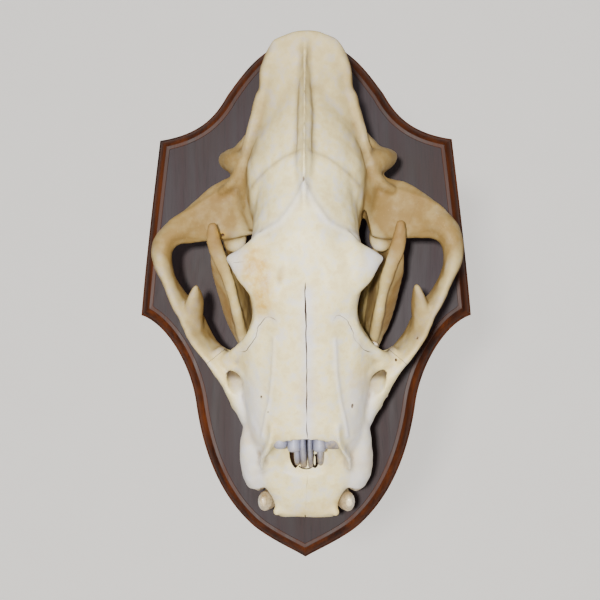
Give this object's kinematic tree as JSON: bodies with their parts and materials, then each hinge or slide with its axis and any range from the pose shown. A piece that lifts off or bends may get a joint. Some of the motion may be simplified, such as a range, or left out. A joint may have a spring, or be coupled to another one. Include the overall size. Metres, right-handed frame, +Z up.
{
  "type": "mounted lion skull",
  "caption": "Lion skull with closed jaws, hung nose down on a shield-shaped wooden wall plaque with a moulded edge.",
  "frame": {"origin": "a point on the flat back face of the plaque, on the plaque's upright centre line, where it meets the wall", "axes": "+Y into the wall, -Y towards the viewer, +Z up the wall, +X to the viewer's right, which is the animal's left; the skull hangs nose down"},
  "size_m": [0.2892, 0.2009, 0.455],
  "materials": {
    "plaque": "satin varnished dark walnut",
    "cranium": "dry cleaned bone, soft sheen",
    "zygomatic_arch_left": "dry cleaned bone, soft sheen",
    "zygomatic_arch_right": "dry cleaned bone, soft sheen",
    "mandible_left": "dry cleaned bone, soft sheen",
    "mandible_right": "dry cleaned bone, soft sheen"
  },
  "bodies": {
    "root": {"plaque": "plaque", "cranium": "cranium", "zygomatic_arch_left": "zygomatic_arch_left", "zygomatic_arch_right": "zygomatic_arch_right", "mandible_left": "mandible_left", "mandible_right": "mandible_right"}
  },
  "joints": []
}
